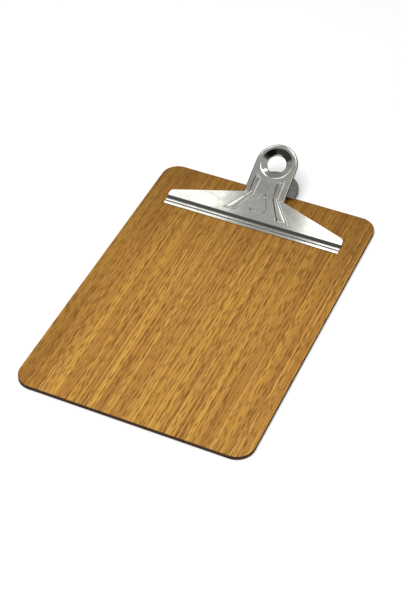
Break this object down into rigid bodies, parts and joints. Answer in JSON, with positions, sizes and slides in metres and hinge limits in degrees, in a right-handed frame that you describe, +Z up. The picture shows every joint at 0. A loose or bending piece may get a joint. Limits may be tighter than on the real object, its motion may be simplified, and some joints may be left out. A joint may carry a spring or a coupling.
{
  "type": "clipboard",
  "caption": "Small hardboard clipboard with a wood-effect face and a wide sprung lever clip that opens when its round handle is pressed.",
  "frame": {"origin": "centre of the board's underside, with the clipboard lying on its back", "axes": "+X across the board to the right, +Y along the board towards the clip, +Z up out of the face"},
  "size_m": [0.16, 0.2556, 0.0311],
  "materials": {
    "front_foil": "satin printed beech-effect foil, grain along the board",
    "back_foil": "satin printed beech-effect foil, grain along the board",
    "hardboard": "matt pressed-fibre hardboard, dark cut edges",
    "lever_steel": "bright nickel-plated pressed steel",
    "base_steel": "nickel-plated pressed steel",
    "pin_steel": "plated steel pin",
    "spring_steel": "oiled spring wire",
    "rivet_steel": "nickel-plated steel rivets",
    "washer_steel": "plated steel washers"
  },
  "bodies": {
    "board": {"back_foil": "back_foil", "board_core": "hardboard", "front_foil": "front_foil", "base_plate": "base_steel", "hinge_pin": "pin_steel", "hinge_spring": "spring_steel", "rivets": "rivet_steel", "rivet_washers": "washer_steel"},
    "lever": {"front_lever": "lever_steel"}
  },
  "joints": [
    {"name": "lever_hinge", "type": "hinge", "parent": "board", "child": "lever", "pos_m": [0, 0.1015, 0.0078], "axis": [-1, 0, 0], "range_deg": [0, 34], "stiffness_Nm_per_rad": 0.5, "springref_deg": -57.3, "deforming": ["hinge_spring"]}
  ]
}
